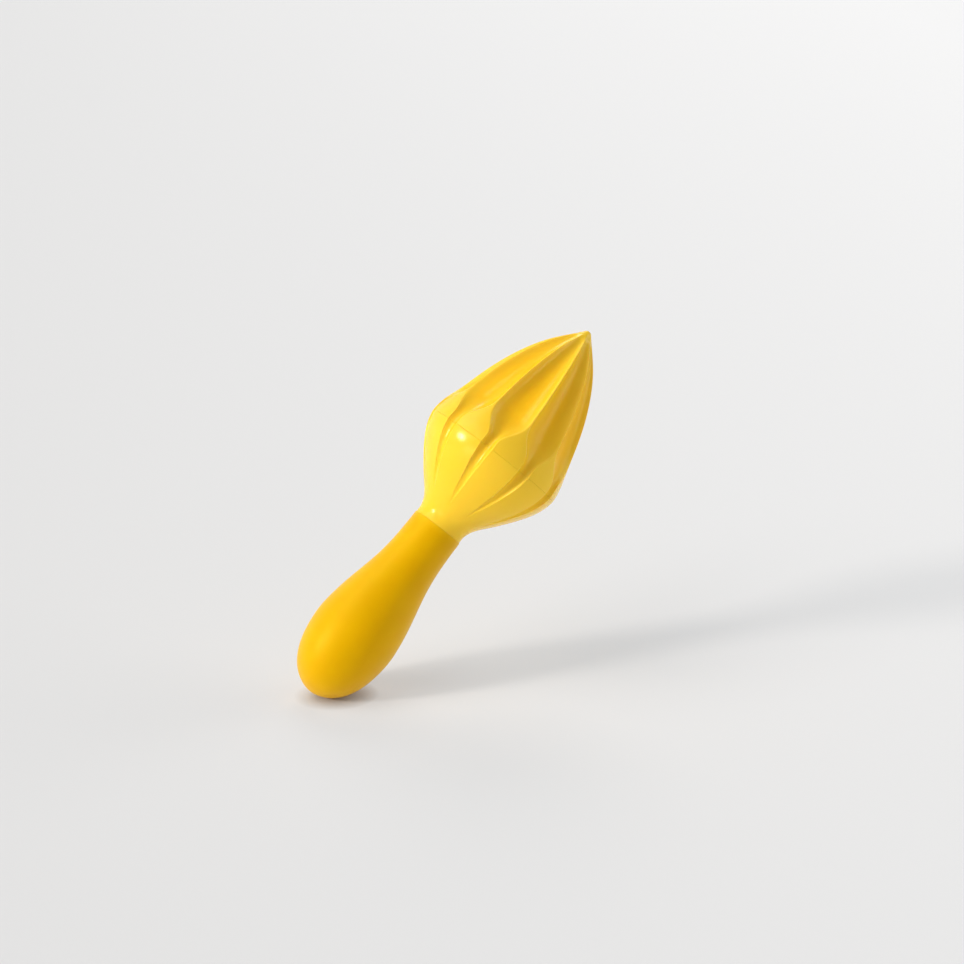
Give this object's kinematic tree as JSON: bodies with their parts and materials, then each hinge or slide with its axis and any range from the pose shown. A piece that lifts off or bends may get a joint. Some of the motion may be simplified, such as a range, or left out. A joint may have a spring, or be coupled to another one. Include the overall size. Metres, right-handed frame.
{
  "type": "citrus reamer",
  "caption": "Hand citrus reamer: a pointed ogive head with deep concave flutes meeting in crisp ridges, a funnel-shaped underside and a soft rounded bulb handle.",
  "frame": {"origin": "lowest point of the rounded butt end, on the axis", "axes": "+Z along the axis from the butt end to the tip; +X through the middle of one flute"},
  "size_m": [0.053, 0.0532, 0.16],
  "materials": {
    "head_plastic": "gloss",
    "grip_rubber": "matte",
    "core_plastic": "matte"
  },
  "bodies": {
    "root": {"head_cone": "head_plastic", "head_base": "head_plastic", "grip": "grip_rubber", "handle_core": "core_plastic", "butt_plug": "core_plastic"}
  },
  "joints": []
}
